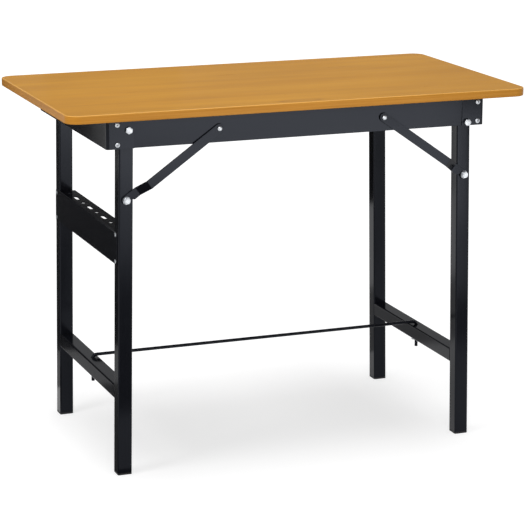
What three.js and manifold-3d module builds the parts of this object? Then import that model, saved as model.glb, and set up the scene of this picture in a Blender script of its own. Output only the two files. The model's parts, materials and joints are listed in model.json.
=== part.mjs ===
// A folding workbench: a banded board on a sheet steel frame, two leg frames that fold under it,
// two hooked braces, a tool tray and a stretcher rod. Millimetres, X along the bench, front at -Y,
// Z up, floor at Z 0.
import * as THREE from "three";
import { mergeVertices } from "three/addons/utils/BufferGeometryUtils.js";
import Module from "manifold-3d";

// General fits
const FIT = 0.3; // gap between pieces that touch or are seated
const HOLE_PLAY = 0.6; // a hole is this much wider than what passes through it
const CUT_PAST = 1; // a cutting tool runs this far past what it cuts

// Facets of curved faces
const ROUND_SIDES = 18;
const SMALL_SIDES = 12; // narrow holes and shanks
const ROD_SIDES = 14;
const CLIP_SIDES = 8;
const TUBE_STEPS = 3; // steps in a quarter turn
const SHEET_STEPS = 4;
const TOP_STEPS = 8;
const BRACE_STEPS = 10;
const ROD_STEPS = 6;
const LOOP_STEPS = 14;

// Board and its edge band
const TOP_LENGTH = 1000;
const TOP_DEPTH = 540;
const TOP_THICKNESS = 17;
const TOP_CORNER_RADIUS = 28;
const BENCH_HEIGHT = 758;
const BAND_THICKNESS = 2.4;
const BAND_ROUND = 1.8;

// Sheet steel frame under the board
const END_OVERHANG = 92; // board past the right end panel
const LEFT_PANEL_OUT = 8; // the left end panel stands this much further out
const SIDE_OVERHANG = 21.7; // board past the panels' flanges
const SHEET = 1.5;
const RAIL_HEIGHT = 57.7;
const RAIL_LIP = 14;
const RAIL_BEND = 3;
const PANEL_BEND = 6;
const PANEL_FLANGE = 49;
const PANEL_LIP = 18;
const LIP_CLEARANCE = 4; // end of a panel's lip to the rails' lips

// Leg frames
const LEG_TUBE = 30;
const LEG_WALL = 1.5;
const LEG_CORNER = 3;
const LEG_SETBACK = 13; // a rail's inner face to a leg's outer face
const PIVOT_INSET = 38; // the right panel's outer face to its pivots
const LEFT_PIVOT_DROP = 21; // the board's underside to the left pivots
const RIGHT_PIVOT_DROP = 51;
const LEG_TOP_REACH = 11; // tube above its pivot
const SPLAY = THREE.MathUtils.degToRad(1);
const CROSSBAR_HEIGHT = 172;
const CAP_BASE = 4;
const CAP_PLUG = 14;

// Motion that the hooked brace ends are cut for
const LEFT_FOLD = THREE.MathUtils.degToRad(91);
const RIGHT_FOLD = THREE.MathUtils.degToRad(89.5);
const BRACE_SWING = THREE.MathUtils.degToRad(22.5);
const HOOK_EXIT = THREE.MathUtils.degToRad(7); // the stud has left its hook at this fold

// Braces
const BRACE_RIVET_X = 180;
const BRACE_WIDTH = 19;
const BRACE_SHEET = 3;
const BRACE_GAP = 0.4; // a brace to the rail or leg behind it
const BRACE_JOGGLE_NEAR = 29.5; // from the stud to the joggle
const BRACE_JOGGLE_LENGTH = 24.5;
const STUD_HEIGHT = 576;
const HOOK_PLAY = 1;

// Tool tray on the left legs
const TRAY_HEIGHT = 67;
const TRAY_MID_HEIGHT = 476;
const TRAY_INSET = 6; // ends of the apron to the legs' front and rear faces
const TRAY_RACK_REACH = 5; // rack past the legs' inner faces
const TRAY_BEND = 3;
const TRAY_HOLE_PITCH = 50;
const TRAY_HOLE_START = -180;
const TRAY_HOLES = 8;
const TRAY_ROUND = 10;
const TRAY_SLOT_LENGTH = 30;
const TRAY_SLOT_WIDTH = 8;
const TRAY_SCREW_SPACING = 55;

// Stretcher rod and its hairpin clips
const ROD = 7;
const ROD_RISE = 6.5; // rod's axis above the crossbars
const ROD_BEND = 9;
const ROD_STUB = 21; // bent end below the crossbars
const ROD_HOLE_PLAY = 1.4;
const CLIP_WIRE = 2;
const CLIP_DROP = 9; // clip below the crossbars
const CLIP_GAP = 0.4;
const CLIP_TIP = 9; // clip in front of the rod's axis
const CLIP_LEG = 12; // straight part behind the rod's axis
const CLIP_LOOP = 5;

// Fasteners
const PIVOT_BOLT = 8;
const HEX_ACROSS = 13;
const HEX_HEAD = 5.3;
const HEX_NUT = 6.5;
const BOLT_TAIL = 2;
const SPACER_WALL = 2.7;
const LOCK_NUT = 6;
const LOCK_FLANGE = 16;
const LOCK_FLANGE_THICKNESS = 1.6;
const LOCK_TAIL = 0.4;
const SCREW = 5;
const SCREW_HEAD = 10;
const SCREW_HEAD_HEIGHT = 3;
const SCREW_TAIL = 5;
const FLANGE_SCREW_INSET = 14.5;
const FLANGE_SCREW_SPACING = 40;
const TRAY_SCREW = 4.5;
const TRAY_SCREW_HEAD = 9;
const TRAY_SCREW_HEAD_HEIGHT = 1.6;
const TRAY_SCREW_TAIL = 5;
const RIVET = 5;
const RIVET_HEAD = 9.5;
const RIVET_HEAD_HEIGHT = 3;
const RIVET_TAIL = 8;
const RIVET_TAIL_HEIGHT = 1.6;
const DOME = [[1, 0.35], [0.82, 0.75], [0.45, 1]]; // shares of a domed head's radius and height
const WOOD_SCREW = 4;
const WOOD_SCREW_HEAD = 8;
const WOOD_SCREW_HEAD_HEIGHT = 2.2;
const WOOD_SCREW_BITE = 11;
const WOOD_SCREW_X = 250;

// Places worked out from the sizes above
const UNDERSIDE = BENCH_HEIGHT - TOP_THICKNESS;
const FRAME_TOP = UNDERSIDE - FIT;
const FRAME_BOTTOM = FRAME_TOP - RAIL_HEIGHT;
const FRAME_MID = (FRAME_TOP + FRAME_BOTTOM) / 2;
const PANEL_X = TOP_LENGTH / 2 - END_OVERHANG;
const FLANGE_Y = TOP_DEPTH / 2 - SIDE_OVERHANG;
const RAIL_Y = FLANGE_Y - SHEET - FIT;
const RAIL_INNER_Y = RAIL_Y - SHEET;
const RAIL_HALF = PANEL_X - PANEL_BEND - FIT;
const LEG_Y = RAIL_INNER_Y - LEG_SETBACK;
const LEG_MID_Y = LEG_Y - LEG_TUBE / 2;
const LEG_INNER_Y = LEG_Y - LEG_TUBE;
const PIVOT_X = PANEL_X - PIVOT_INSET;
const BOLT_HOLE = PIVOT_BOLT + HOLE_PLAY;
const LEFT_PANEL_X = PANEL_X + LEFT_PANEL_OUT;
const LEFT_PIVOT_Z = UNDERSIDE - LEFT_PIVOT_DROP;
const RIGHT_PIVOT_Z = UNDERSIDE - RIGHT_PIVOT_DROP;
const SIDES = [
  { sign: -1, name: "left", panelX: LEFT_PANEL_X, pivotZ: LEFT_PIVOT_Z, fold: LEFT_FOLD },
  { sign: 1, name: "right", panelX: PANEL_X, pivotZ: RIGHT_PIVOT_Z, fold: RIGHT_FOLD },
];
const FACES = [
  { sign: -1, name: "front" },
  { sign: 1, name: "rear" },
];

const FINISHES = {
  board: { color: 0xd9912b, roughness: 0.35, metalness: 0 },
  band: { color: 0xd08a26, roughness: 0.35, metalness: 0 },
  coat: { color: 0x1c1e24, roughness: 0.35, metalness: 0.2 },
  zinc: { color: 0xc9cbd0, roughness: 0.3, metalness: 1 },
  plastic: { color: 0x101112, roughness: 0.6, metalness: 0 },
};

const wasm = await Module();
wasm.setup();

const bench = new THREE.Group();
bench.name = "folding_workbench";

function add(parent, name, geometry, finish) {
  const mesh = new THREE.Mesh(geometry, new THREE.MeshStandardMaterial(FINISHES[finish]));
  mesh.name = name;
  parent.add(mesh);
}

// A closed geometry as a solid for joining and cutting.
function solid(geometry) {
  const bare = geometry.clone();
  bare.deleteAttribute("normal");
  bare.deleteAttribute("uv");
  const merged = mergeVertices(bare, 1e-4);
  const mesh = new wasm.Mesh({
    numProp: 3,
    vertProperties: new Float32Array(merged.attributes.position.array),
    triVerts: new Uint32Array(merged.index.array),
  });
  return new wasm.Manifold(mesh);
}

function geometryOf(manifold) {
  const mesh = manifold.getMesh();
  const geometry = new THREE.BufferGeometry();
  geometry.setAttribute("position", new THREE.BufferAttribute(mesh.vertProperties, 3));
  geometry.setIndex(new THREE.BufferAttribute(mesh.triVerts, 1));
  const faceted = geometry.toNonIndexed();
  faceted.computeVertexNormals();
  return faceted;
}

function join(...geometries) {
  return geometryOf(geometries.map(solid).reduce((sum, next) => sum.add(next)));
}

function cut(base, ...tools) {
  return geometryOf(tools.map(solid).reduce((rest, tool) => rest.subtract(tool), solid(base)));
}

function common(first, second) {
  return geometryOf(solid(first).intersect(solid(second)));
}

// A block between two corners.
function block(low, high) {
  const size = high.map((value, axis) => value - low[axis]);
  const middle = high.map((value, axis) => (value + low[axis]) / 2);
  return new THREE.BoxGeometry(...size).translate(...middle);
}

// A round bar along one axis, from one place on it to another.
function barZ(diameter, low, high, sides = ROUND_SIDES) {
  const bar = new THREE.CylinderGeometry(diameter / 2, diameter / 2, high - low, sides);
  return bar.rotateX(Math.PI / 2).translate(0, 0, (low + high) / 2);
}

function barY(diameter, low, high, sides = ROUND_SIDES) {
  return barZ(diameter, low, high, sides).rotateX(-Math.PI / 2);
}

function barX(diameter, low, high, sides = ROUND_SIDES) {
  return barZ(diameter, low, high, sides).rotateY(Math.PI / 2);
}

// A six-sided bar along Y, sized by the distance across its flats.
function hexY(across, low, high) {
  return barY((across * 2) / Math.sqrt(3), low, high, 6);
}

function roundedRectangle(width, height, radius) {
  const x = width / 2 - radius;
  const y = height / 2 - radius;
  const shape = new THREE.Shape();
  shape.absarc(x, -y, radius, -Math.PI / 2, 0);
  shape.absarc(x, y, radius, 0, Math.PI / 2);
  shape.absarc(-x, y, radius, Math.PI / 2, Math.PI);
  shape.absarc(-x, -y, radius, Math.PI, Math.PI * 1.5);
  shape.closePath();
  return shape;
}

// An outline with round ends, centred at x 0 and at its length.
function stadium(length, width) {
  const shape = new THREE.Shape();
  shape.absarc(0, 0, width / 2, Math.PI / 2, Math.PI * 1.5);
  shape.absarc(length, 0, width / 2, -Math.PI / 2, Math.PI / 2);
  shape.closePath();
  return shape;
}

function polygon(points) {
  return new THREE.Shape(points.map(([x, y]) => new THREE.Vector2(x, y)));
}

function extrudeZ(shape, low, high, curveSegments = SHEET_STEPS) {
  const settings = { depth: high - low, bevelEnabled: false, curveSegments };
  return new THREE.ExtrudeGeometry(shape, settings).translate(0, 0, low);
}

// An outline drawn in X and Z, given a thickness along Y.
function extrudeY(shape, low, high, curveSegments = SHEET_STEPS) {
  return extrudeZ(shape, -high, -low, curveSegments).rotateX(Math.PI / 2);
}

// A square tube along Z.
function squareTube(low, high) {
  const shape = roundedRectangle(LEG_TUBE, LEG_TUBE, LEG_CORNER);
  const inside = LEG_TUBE - 2 * LEG_WALL;
  shape.holes.push(roundedRectangle(inside, inside, LEG_CORNER - LEG_WALL));
  return extrudeZ(shape, low, high, TUBE_STEPS);
}

// A turned piece about Z, from radius and height pairs that start and end on the axis.
function turned(profile) {
  const points = profile.map(([radius, height]) => new THREE.Vector2(radius, height));
  return new THREE.LatheGeometry(points, ROUND_SIDES).rotateX(Math.PI / 2);
}

// A fastener with a domed head that stands on Z 0, its neck below.
function domed(diameter, height, neck, tail) {
  const radius = diameter / 2;
  return turned([
    [0, -tail],
    [neck / 2, -tail],
    [neck / 2, 0],
    [radius, 0],
    ...DOME.map(([outward, upward]) => [radius * outward, height * upward]),
    [0, height],
  ]);
}

// A round wire along points in one plane, whose normal is given.
function wire(points, normal, diameter, sides) {
  const rings = points.map((point, index) => {
    const before = points[Math.max(index - 1, 0)];
    const after = points[Math.min(index + 1, points.length - 1)];
    const into = point.clone().sub(before).normalize();
    const out = after.clone().sub(point).normalize();
    const along = into.clone().add(out).normalize();
    const across = new THREE.Vector3().crossVectors(along, normal);
    const widen = 1 / Math.max(along.dot(out), along.dot(into));
    return Array.from({ length: sides }, (_, step) => {
      const turn = (step / sides) * Math.PI * 2;
      return point
        .clone()
        .addScaledVector(normal, (Math.cos(turn) * diameter) / 2)
        .addScaledVector(across, (Math.sin(turn) * widen * diameter) / 2);
    });
  });
  const corners = [...rings.flat(), points[0], points[points.length - 1]];
  const faces = [];
  const last = rings.length - 1;
  for (let step = 0; step < sides; step += 1) {
    const next = (step + 1) % sides;
    for (let ring = 0; ring < last; ring += 1) {
      const low = ring * sides;
      const high = low + sides;
      faces.push(low + step, high + next, high + step);
      faces.push(low + step, low + next, high + next);
    }
    faces.push(rings.length * sides, next, step);
    faces.push(rings.length * sides + 1, last * sides + step, last * sides + next);
  }
  const geometry = new THREE.BufferGeometry().setFromPoints(corners);
  geometry.setIndex(faces);
  return geometry;
}

// Board, its edge band and the screws that hold it
function topScrewPlaces() {
  const places = [];
  for (const side of SIDES) {
    for (const face of FACES) {
      const name = `${face.name}_${side.name}_top_screw`;
      const x = side.sign * WOOD_SCREW_X;
      places.push({ name, x, y: face.sign * (RAIL_Y - RAIL_LIP / 2) });
    }
    const lipX = side.panelX - SHEET - PANEL_LIP / 2;
    places.push({ name: `${side.name}_panel_top_screw`, x: side.sign * lipX, y: 0 });
  }
  return places;
}

function topScrewHoles(top) {
  const hole = WOOD_SCREW + HOLE_PLAY;
  return topScrewPlaces().map(({ x, y }) => {
    return barZ(hole, FRAME_BOTTOM, top, SMALL_SIDES).translate(x, y, 0);
  });
}

function topOutline(inset) {
  const length = TOP_LENGTH - 2 * inset;
  return roundedRectangle(length, TOP_DEPTH - 2 * inset, TOP_CORNER_RADIUS - inset);
}

function addTop() {
  const plank = extrudeZ(topOutline(BAND_THICKNESS + FIT), UNDERSIDE, BENCH_HEIGHT, TOP_STEPS);
  const pilots = topScrewHoles(UNDERSIDE + WOOD_SCREW_BITE + FIT);
  add(bench, "tabletop_board", cut(plank, ...pilots), "board");

  const rounded = new THREE.ExtrudeGeometry(topOutline(BAND_ROUND), {
    depth: TOP_THICKNESS - 2 * BAND_ROUND,
    bevelThickness: BAND_ROUND,
    bevelSize: BAND_ROUND,
    bevelSegments: 2,
    curveSegments: TOP_STEPS,
  }).translate(0, 0, UNDERSIDE + BAND_ROUND);
  const coreOutline = topOutline(BAND_THICKNESS);
  const core = extrudeZ(coreOutline, UNDERSIDE - CUT_PAST, BENCH_HEIGHT + CUT_PAST, TOP_STEPS);
  add(bench, "tabletop_edge_band", cut(rounded, core), "band");

  const seat = FRAME_TOP - SHEET - FIT;
  const tip = UNDERSIDE + WOOD_SCREW_BITE;
  for (const { name, x, y } of topScrewPlaces()) {
    const head = barZ(WOOD_SCREW_HEAD, seat - WOOD_SCREW_HEAD_HEIGHT, seat);
    const shank = barZ(WOOD_SCREW, seat - WOOD_SCREW_HEAD_HEIGHT / 2, tip, SMALL_SIDES);
    add(bench, name, join(head, shank).translate(x, y, 0), "zinc");
  }
}

// Rails and end panels
function flangeScrewPlaces() {
  const places = [];
  for (const side of SIDES) {
    for (const face of FACES) {
      for (const [level, sign] of [["upper", 1], ["lower", -1]]) {
        const name = `${face.name}_${side.name}_${level}_flange_screw`;
        const x = side.sign * (PANEL_X - FLANGE_SCREW_INSET);
        places.push({ name, face, x, z: FRAME_MID + (sign * FLANGE_SCREW_SPACING) / 2 });
      }
    }
  }
  return places;
}

// Holes through the rails and the panels' flanges, from front to rear
function flangeHoles() {
  const through = (diameter, x, z) => barY(diameter, -TOP_DEPTH, TOP_DEPTH).translate(x, 0, z);
  const screws = flangeScrewPlaces().filter(({ face }) => face.sign < 0);
  return [
    ...screws.map(({ x, z }) => through(SCREW + HOLE_PLAY, x, z)),
    ...SIDES.map(({ sign, pivotZ }) => through(BOLT_HOLE, sign * PIVOT_X, pivotZ)),
  ];
}

function railProfile() {
  const bendY = RAIL_Y - RAIL_BEND;
  const bendZ = FRAME_TOP - RAIL_BEND;
  const profile = new THREE.Shape();
  profile.moveTo(RAIL_Y, FRAME_BOTTOM);
  profile.absarc(bendY, bendZ, RAIL_BEND, 0, Math.PI / 2);
  profile.lineTo(RAIL_Y - RAIL_LIP, FRAME_TOP);
  profile.lineTo(RAIL_Y - RAIL_LIP, FRAME_TOP - SHEET);
  profile.absarc(bendY, bendZ, RAIL_BEND - SHEET, Math.PI / 2, 0, true);
  profile.lineTo(RAIL_INNER_Y, FRAME_BOTTOM);
  profile.closePath();
  return profile;
}

function panelProfile(panelX) {
  const bendX = panelX - PANEL_BEND;
  const bendY = FLANGE_Y - PANEL_BEND;
  const endX = PANEL_X - PANEL_FLANGE;
  const inner = PANEL_BEND - SHEET;
  const profile = new THREE.Shape();
  profile.moveTo(endX, -FLANGE_Y);
  profile.absarc(bendX, -bendY, PANEL_BEND, -Math.PI / 2, 0);
  profile.absarc(bendX, bendY, PANEL_BEND, 0, Math.PI / 2);
  profile.lineTo(endX, FLANGE_Y);
  profile.lineTo(endX, FLANGE_Y - SHEET);
  profile.absarc(bendX, bendY, inner, Math.PI / 2, 0, true);
  profile.absarc(bendX, -bendY, inner, 0, -Math.PI / 2, true);
  profile.lineTo(endX, -FLANGE_Y + SHEET);
  profile.closePath();
  return profile;
}

function addFrame() {
  const holes = [...flangeHoles(), ...topScrewHoles(BENCH_HEIGHT)];
  const rivetHoles = SIDES.map(({ sign }) => {
    const hole = barY(RIVET + HOLE_PLAY, -TOP_DEPTH, 0);
    return hole.translate(sign * BRACE_RIVET_X, 0, FRAME_MID);
  });
  for (const face of FACES) {
    // the profile is drawn in Y and Z, then turned to run along X
    const bar = extrudeY(railProfile(), -RAIL_HALF, RAIL_HALF).rotateZ(Math.PI / 2);
    bar.rotateZ(face.sign < 0 ? Math.PI : 0);
    const tools = face.sign < 0 ? [...holes, ...rivetHoles] : holes;
    add(bench, `${face.name}_rail`, cut(bar, ...tools), "coat");
  }
  for (const side of SIDES) {
    const sheet = extrudeZ(panelProfile(side.panelX), FRAME_BOTTOM, FRAME_TOP);
    const lipY = RAIL_Y - RAIL_LIP - LIP_CLEARANCE;
    const lipX = side.panelX - SHEET - PANEL_LIP;
    const lipEnd = side.panelX - SHEET / 2;
    const lip = block([lipX, -lipY, FRAME_TOP - SHEET], [lipEnd, lipY, FRAME_TOP]);
    const panel = join(sheet, lip).rotateZ(side.sign < 0 ? Math.PI : 0);
    add(bench, `${side.name}_end_panel`, cut(panel, ...holes), "coat");
  }
  for (const { name, face, x, z } of flangeScrewPlaces()) {
    const tail = FIT + SHEET + FIT + SHEET + SCREW_TAIL;
    const screw = domed(SCREW_HEAD, SCREW_HEAD_HEIGHT, SCREW, tail);
    screw.translate(0, 0, FLANGE_Y + FIT).rotateX(Math.PI / 2);
    screw.rotateZ(face.sign < 0 ? 0 : Math.PI).translate(x, 0, z);
    add(bench, name, screw, "zinc");
  }
}

// Pivot bolts with their spacers and nuts, drawn for the front and turned for the rear
function addPivots() {
  const headY = -(FLANGE_Y + FIT);
  const nutY = -(LEG_INNER_Y - FIT);
  const bolt = join(
    hexY(HEX_ACROSS, headY - HEX_HEAD, headY),
    barY(PIVOT_BOLT, headY - HEX_HEAD / 2, nutY + HEX_NUT + BOLT_TAIL),
  );
  const bore = barY(BOLT_HOLE, -TOP_DEPTH, TOP_DEPTH);
  const sleeve = barY(BOLT_HOLE + 2 * SPACER_WALL, -(RAIL_INNER_Y - FIT), -(LEG_Y + FIT));
  const spacer = cut(sleeve, bore);
  const nut = cut(hexY(HEX_ACROSS, nutY, nutY + HEX_NUT), bore);
  for (const side of SIDES) {
    for (const face of FACES) {
      const turn = face.sign < 0 ? 0 : Math.PI;
      for (const [piece, name] of [[bolt, "bolt"], [spacer, "spacer"], [nut, "nut"]]) {
        const placed = piece.clone().rotateZ(turn);
        placed.translate(side.sign * PIVOT_X, 0, side.pivotZ);
        add(bench, `${face.name}_${side.name}_pivot_${name}`, placed, "zinc");
      }
    }
  }
}

// A leg frame is drawn about its pivot, with its legs along Z, then splayed as a group.
function alongLeg(side, height) {
  return (height - side.pivotZ) / Math.cos(SPLAY);
}

function outwardAt(side, height) {
  return PIVOT_X + (side.pivotZ - height) * Math.tan(SPLAY);
}

function trayScrewHeights(side) {
  const middle = alongLeg(side, TRAY_MID_HEIGHT);
  return { upper: middle + TRAY_SCREW_SPACING / 2, lower: middle - TRAY_SCREW_SPACING / 2 };
}

function trayScrewHole(height) {
  return barX(TRAY_SCREW + HOLE_PLAY, -LEG_TUBE, 0, SMALL_SIDES).translate(0, 0, height);
}

// A plug in the tube's end, with a base cut level with the floor
function footCap(side) {
  const floor = alongLeg(side, 0);
  const top = floor + CAP_BASE;
  const slope = -side.sign * Math.tan(SPLAY);
  const wedge = polygon([
    [-LEG_TUBE, floor - slope * LEG_TUBE],
    [LEG_TUBE, floor + slope * LEG_TUBE],
    [LEG_TUBE, top],
    [-LEG_TUBE, top],
  ]);
  const outline = roundedRectangle(LEG_TUBE, LEG_TUBE, LEG_CORNER);
  const column = extrudeZ(outline, floor - CAP_BASE, top, TUBE_STEPS);
  const base = common(column, extrudeY(wedge, -LEG_TUBE, LEG_TUBE));
  const plugSize = LEG_TUBE - 2 * LEG_WALL - 2 * FIT;
  const plugOutline = roundedRectangle(plugSize, plugSize, LEG_CORNER - LEG_WALL);
  return join(base, extrudeZ(plugOutline, top - CAP_BASE / 2, top + CAP_PLUG, TUBE_STEPS));
}

function addLegFrame(side) {
  const frame = new THREE.Group();
  frame.name = `${side.name}_leg_frame`;
  frame.position.set(side.sign * PIVOT_X, 0, side.pivotZ);
  frame.rotation.y = -side.sign * SPLAY;
  bench.add(frame);

  for (const face of FACES) {
    const tube = squareTube(alongLeg(side, 0) + CAP_BASE + FIT, LEG_TOP_REACH);
    const holes = [barY(BOLT_HOLE, -LEG_TUBE, LEG_TUBE)];
    if (face.sign < 0) {
      const stud = barY(BOLT_HOLE, -LEG_TUBE, LEG_TUBE);
      holes.push(stud.translate(0, 0, alongLeg(side, STUD_HEIGHT)));
    }
    if (side.sign < 0) {
      for (const height of Object.values(trayScrewHeights(side))) {
        holes.push(trayScrewHole(height));
      }
    }
    const y = face.sign * LEG_MID_Y;
    add(frame, `${face.name}_${side.name}_leg`, cut(tube, ...holes).translate(0, y, 0), "coat");
    add(frame, `${face.name}_${side.name}_foot_cap`, footCap(side).translate(0, y, 0), "plastic");
  }

  const barEnd = LEG_INNER_Y - FIT;
  const tube = squareTube(-barEnd, barEnd).rotateX(Math.PI / 2);
  const rodHole = barZ(ROD + ROD_HOLE_PLAY, -LEG_TUBE, LEG_TUBE);
  const crossbar = cut(tube, rodHole).translate(0, 0, alongLeg(side, CROSSBAR_HEIGHT));
  add(frame, `${side.name}_crossbar`, crossbar, "coat");

  addLockStud(frame, side);
  if (side.sign < 0) addTray(frame, side);
}

// Bolt through a front leg, with the flanged nut that holds a brace's hooked end
function addLockStud(frame, side) {
  const headY = -(LEG_INNER_Y - FIT);
  const nutY = -(LEG_Y + BRACE_GAP + BRACE_SHEET + FIT);
  const nutEnd = nutY - LOCK_FLANGE_THICKNESS - LOCK_NUT;
  const bolt = join(
    hexY(HEX_ACROSS, headY, headY + HEX_HEAD),
    barY(PIVOT_BOLT, nutEnd - LOCK_TAIL, headY + HEX_HEAD / 2),
  );
  const flange = barY(LOCK_FLANGE, nutY - LOCK_FLANGE_THICKNESS, nutY);
  const hex = hexY(HEX_ACROSS, nutEnd, nutY - LOCK_FLANGE_THICKNESS / 2);
  const nut = cut(join(flange, hex), barY(BOLT_HOLE, -TOP_DEPTH, TOP_DEPTH));
  const height = alongLeg(side, STUD_HEIGHT);
  add(frame, `${side.name}_brace_bolt`, bolt.translate(0, 0, height), "zinc");
  add(frame, `${side.name}_brace_lock_nut`, nut.translate(0, 0, height), "zinc");
}

// Tool tray: an apron on the legs' outer faces, bent over into a rack between the legs
function trayProfile(inner, bottom, top) {
  const outer = inner - SHEET;
  const reach = LEG_TUBE / 2 + TRAY_RACK_REACH;
  const bendX = outer + TRAY_BEND;
  const bendZ = top - TRAY_BEND;
  const profile = new THREE.Shape();
  profile.moveTo(outer, bottom);
  profile.lineTo(inner, bottom);
  profile.absarc(bendX, bendZ, TRAY_BEND - SHEET, Math.PI, Math.PI / 2, true);
  profile.lineTo(reach, top - SHEET);
  profile.lineTo(reach, top);
  profile.absarc(bendX, bendZ, TRAY_BEND, Math.PI / 2, Math.PI);
  profile.closePath();
  return profile;
}

function addTray(frame, side) {
  const middle = alongLeg(side, TRAY_MID_HEIGHT);
  const top = middle + TRAY_HEIGHT / 2;
  const inner = -LEG_TUBE / 2 - FIT;
  const end = LEG_Y - TRAY_INSET;
  const sheet = extrudeY(trayProfile(inner, middle - TRAY_HEIGHT / 2, top), -end, end);
  const rackEnd = LEG_INNER_Y - FIT;
  const past = LEG_TUBE + TRAY_RACK_REACH;
  const tools = [
    block([inner, rackEnd, middle], [past, LEG_Y, top + CUT_PAST]),
    block([inner, -LEG_Y, middle], [past, -rackEnd, top + CUT_PAST]),
  ];
  for (let hole = 0; hole < TRAY_HOLES; hole += 1) {
    const y = TRAY_HOLE_START + hole * TRAY_HOLE_PITCH;
    const straight = hole % 2 === 0 ? TRAY_SLOT_LENGTH - TRAY_SLOT_WIDTH : 0;
    const opening = straight
      ? extrudeZ(stadium(straight, TRAY_SLOT_WIDTH), middle, top + CUT_PAST)
      : barZ(TRAY_ROUND, middle, top + CUT_PAST);
    tools.push(opening.rotateZ(Math.PI / 2).translate(0, y - straight / 2, 0));
  }
  for (const [level, height] of Object.entries(trayScrewHeights(side))) {
    for (const face of FACES) {
      const y = face.sign * LEG_MID_Y;
      tools.push(trayScrewHole(height).translate(0, y, 0));
      const tail = FIT + SHEET + FIT + LEG_WALL + TRAY_SCREW_TAIL;
      const screw = domed(TRAY_SCREW_HEAD, TRAY_SCREW_HEAD_HEIGHT, TRAY_SCREW, tail);
      screw.rotateY(-Math.PI / 2).translate(inner - SHEET - FIT, y, height);
      add(frame, `${face.name}_${level}_tray_screw`, screw, "zinc");
    }
  }
  add(frame, "tool_tray", cut(sheet, ...tools), "coat");
}

// Where a stud stands in its brace's own frame once the leg has folded by an angle:
// along the brace from the rivet, and below the brace's middle line
function studInBrace(side, angle) {
  const arm = -alongLeg(side, STUD_HEIGHT);
  const outward = (turn) => PIVOT_X + arm * Math.sin(SPLAY - turn) - BRACE_RIVET_X;
  const down = (turn) => FRAME_MID - side.pivotZ + arm * Math.cos(SPLAY - turn);
  const tilt = Math.atan2(down(0), outward(0)) - (BRACE_SWING * angle) / side.fold;
  const along = outward(angle) * Math.cos(tilt) + down(angle) * Math.sin(tilt);
  const below = down(angle) * Math.cos(tilt) - outward(angle) * Math.sin(tilt);
  return { along, below, tilt };
}

function addBrace(side) {
  const { along: reach, tilt } = studInBrace(side, 0);
  const end = BRACE_WIDTH / 2;
  const upper = -(RAIL_Y + BRACE_GAP);
  const lower = -(LEG_Y + BRACE_GAP);
  const near = reach - BRACE_JOGGLE_NEAR;
  const far = near - BRACE_JOGGLE_LENGTH;
  const bent = polygon([
    [-end, upper],
    [-end, upper - BRACE_SHEET],
    [far, upper - BRACE_SHEET],
    [near, lower - BRACE_SHEET],
    [reach + end, lower - BRACE_SHEET],
    [reach + end, lower],
    [near, lower],
    [far, upper],
  ]);
  const strip = extrudeZ(bent, -BRACE_WIDTH / 2, BRACE_WIDTH / 2);
  const outline = extrudeY(stadium(reach, BRACE_WIDTH), -TOP_DEPTH, 0, BRACE_STEPS);
  const rivetHole = barY(RIVET + HOLE_PLAY, -TOP_DEPTH, 0);
  // an open hook: a slot along the way that the stud takes out of the brace
  const exit = studInBrace(side, HOOK_EXIT);
  const back = exit.along - reach;
  const slotLength = Math.hypot(back, exit.below);
  const slotOutline = stadium(slotLength, PIVOT_BOLT + HOOK_PLAY);
  const slot = extrudeY(slotOutline, -TOP_DEPTH, 0, BRACE_STEPS);
  slot.rotateY(Math.atan2(exit.below, back)).translate(reach, 0, 0);
  const bar = cut(common(strip, outline), rivetHole, slot);

  const place = new THREE.Group();
  place.name = `${side.name}_brace_place`;
  place.position.set(side.sign * BRACE_RIVET_X, 0, FRAME_MID);
  place.scale.x = side.sign;
  bench.add(place);
  const arm = new THREE.Group();
  arm.name = `${side.name}_brace_arm`;
  arm.rotation.y = tilt;
  place.add(arm);
  add(arm, `${side.name}_brace`, bar, "coat");

  const headY = upper - BRACE_SHEET - FIT;
  const tailY = -(RAIL_INNER_Y - FIT);
  const neck = tailY - headY + RIVET_TAIL_HEIGHT / 2;
  const head = domed(RIVET_HEAD, RIVET_HEAD_HEIGHT, RIVET, neck);
  head.translate(0, 0, -headY).rotateX(Math.PI / 2);
  const tail = barY(RIVET_TAIL, tailY, tailY + RIVET_TAIL_HEIGHT);
  add(place, `${side.name}_brace_rivet`, join(head, tail), "zinc");
}

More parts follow.
